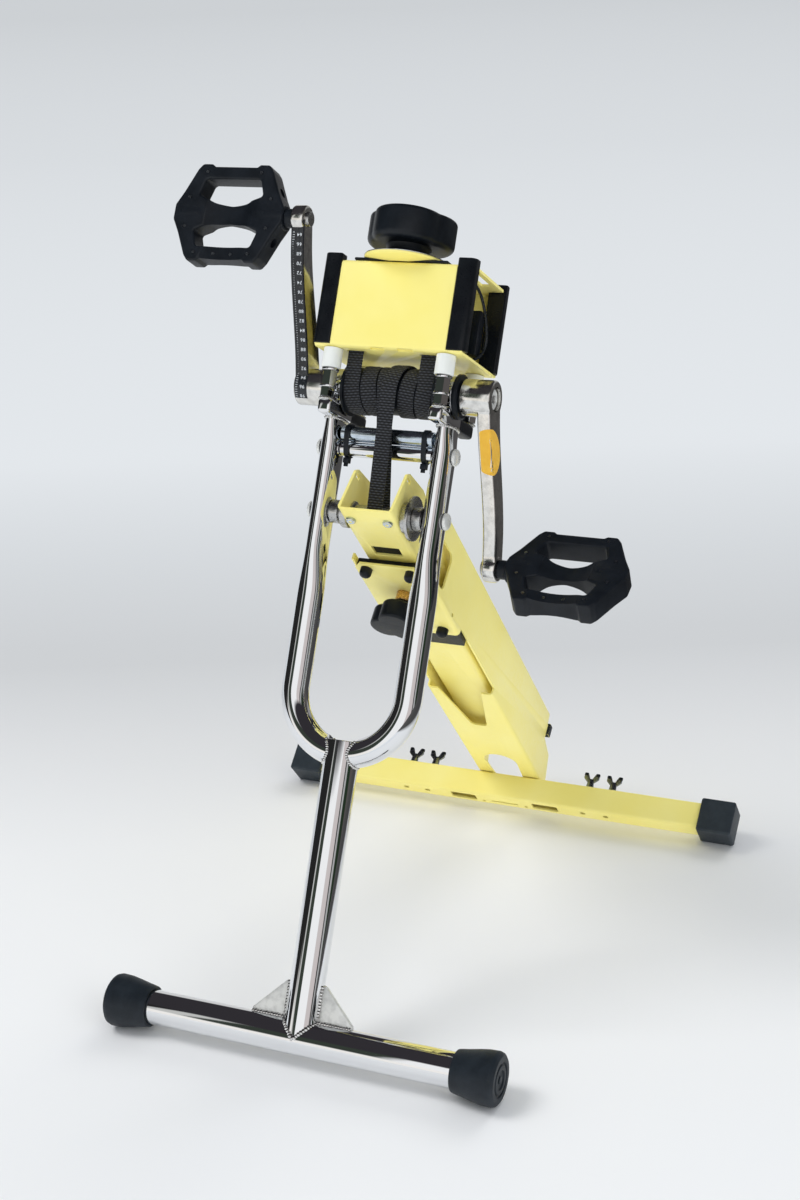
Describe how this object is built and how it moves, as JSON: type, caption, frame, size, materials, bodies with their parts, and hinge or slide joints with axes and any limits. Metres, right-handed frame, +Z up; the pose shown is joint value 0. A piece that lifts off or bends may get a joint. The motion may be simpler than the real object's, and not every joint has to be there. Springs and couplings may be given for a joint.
{
  "type": "portable exercise bike",
  "caption": "Folding floor-standing pedal exerciser: chrome wishbone fork, sliding rear leg, band-braked crank with two pedals and a tension knob.",
  "frame": {"origin": "centre of the bounding box's underside, on the floor", "axes": "+Z up, +X from the left pedal's side to the right one's, +Y from the foot bar to the rear base bar"},
  "size_m": [0.5176, 0.5979, 0.7392],
  "materials": {
    "chrome": "polished",
    "zinc": "satin",
    "steel": "satin",
    "forged": "satin",
    "yellow": "satin",
    "rubber": "matte",
    "resin": "satin",
    "webbing": "matte",
    "nylon": "satin",
    "brass": "polished"
  },
  "bodies": {
    "frame": {"foot_bar": "chrome", "foot_tip_left": "rubber", "foot_tip_right": "rubber", "post": "chrome", "fork_leg_left": "chrome", "fork_leg_right": "chrome", "spacer_tube": "chrome", "guard_tube": "zinc", "cable_tie_left": "resin", "cable_tie_right": "resin", "pivot_axle": "steel", "pivot_spacer_left": "chrome", "pivot_spacer_right": "chrome", "pivot_bolt_left": "chrome", "pivot_bolt_right": "chrome", "spacer_bolt_left": "chrome", "spacer_bolt_right": "chrome", "bearing_saddle_left": "chrome", "bearing_saddle_right": "chrome", "crank_bearing_left": "steel", "crank_bearing_right": "steel", "dust_cover_left": "rubber", "dust_cover_right": "rubber", "head_bushing_front_left": "nylon", "head_bushing_front_right": "nylon", "head_bushing_rear_left": "nylon", "head_bushing_rear_right": "nylon", "head_shell": "yellow", "corner_strip_front_left": "rubber", "corner_strip_front_right": "rubber", "corner_strip_rear_left": "rubber", "corner_strip_rear_right": "rubber", "tension_disc": "yellow", "tension_bar": "steel", "brake_band": "webbing"},
    "tension_knob": {"tension_knob": "resin"},
    "crank": {"crank_spindle": "steel", "brake_drum": "resin", "crank_arm_left": "forged", "crank_arm_right": "forged", "pedal_spindle_left": "steel", "pedal_spindle_right": "steel"},
    "pedal_left": {"pedal_left": "resin"},
    "pedal_right": {"pedal_right": "resin"},
    "upper_leg": {"upper_leg": "yellow", "pivot_bearing_left": "steel", "pivot_bearing_right": "steel"},
    "lower_leg": {"lower_leg": "yellow", "leg_liner": "resin", "clamp_bush": "brass", "base_bar": "yellow", "base_cap_left": "rubber", "base_cap_right": "rubber"},
    "clamp_knob": {"clamp_knob": "resin"},
    "wing_screw_1": {"wing_screw_1": "zinc"},
    "wing_screw_2": {"wing_screw_2": "zinc"},
    "wing_screw_3": {"wing_screw_3": "zinc"},
    "wing_screw_4": {"wing_screw_4": "zinc"}
  },
  "joints": [
    {"name": "leg_fold", "type": "hinge", "parent": "frame", "child": "upper_leg", "pos_m": [0, -0.06358, 0.44253], "axis": [-1, 0, 0], "range_deg": [0, 56]},
    {"name": "leg_slide", "type": "slide", "parent": "upper_leg", "child": "lower_leg", "axis": [0, 0.6652, -0.7467], "range_m": [-0.02, 0.06]},
    {"name": "clamp_turn", "type": "hinge", "parent": "lower_leg", "child": "clamp_knob", "pos_m": [0.003, -0.02917, 0.33926], "axis": [0, -0.7467, -0.6652], "continuous": true},
    {"name": "tension_turn", "type": "hinge", "parent": "frame", "child": "tension_knob", "pos_m": [-0.002, 0.03085, 0.66719], "axis": [0, 0.4509, 0.8926], "continuous": true},
    {"name": "crank_turn", "type": "hinge", "parent": "frame", "child": "crank", "pos_m": [0, -0.01254, 0.54357], "axis": [1, 0, 0], "continuous": true},
    {"name": "pedal_left_turn", "type": "hinge", "parent": "crank", "child": "pedal_left", "pos_m": [-0.1725, 0.01438, 0.69317], "axis": [1, 0, 0], "continuous": true},
    {"name": "pedal_right_turn", "type": "hinge", "parent": "crank", "child": "pedal_right", "pos_m": [0.1725, -0.03946, 0.39397], "axis": [1, 0, 0], "continuous": true},
    {"name": "wing_screw_1_turn", "type": "hinge", "parent": "lower_leg", "child": "wing_screw_1", "pos_m": [-0.118, 0.26605, 0.03434], "axis": [0, 0.7467, 0.6652], "continuous": true},
    {"name": "wing_screw_2_turn", "type": "hinge", "parent": "lower_leg", "child": "wing_screw_2", "pos_m": [-0.092, 0.26605, 0.03434], "axis": [0, 0.7467, 0.6652], "continuous": true},
    {"name": "wing_screw_3_turn", "type": "hinge", "parent": "lower_leg", "child": "wing_screw_3", "pos_m": [0.092, 0.26605, 0.03434], "axis": [0, 0.7467, 0.6652], "continuous": true},
    {"name": "wing_screw_4_turn", "type": "hinge", "parent": "lower_leg", "child": "wing_screw_4", "pos_m": [0.118, 0.26605, 0.03434], "axis": [0, 0.7467, 0.6652], "continuous": true}
  ]
}
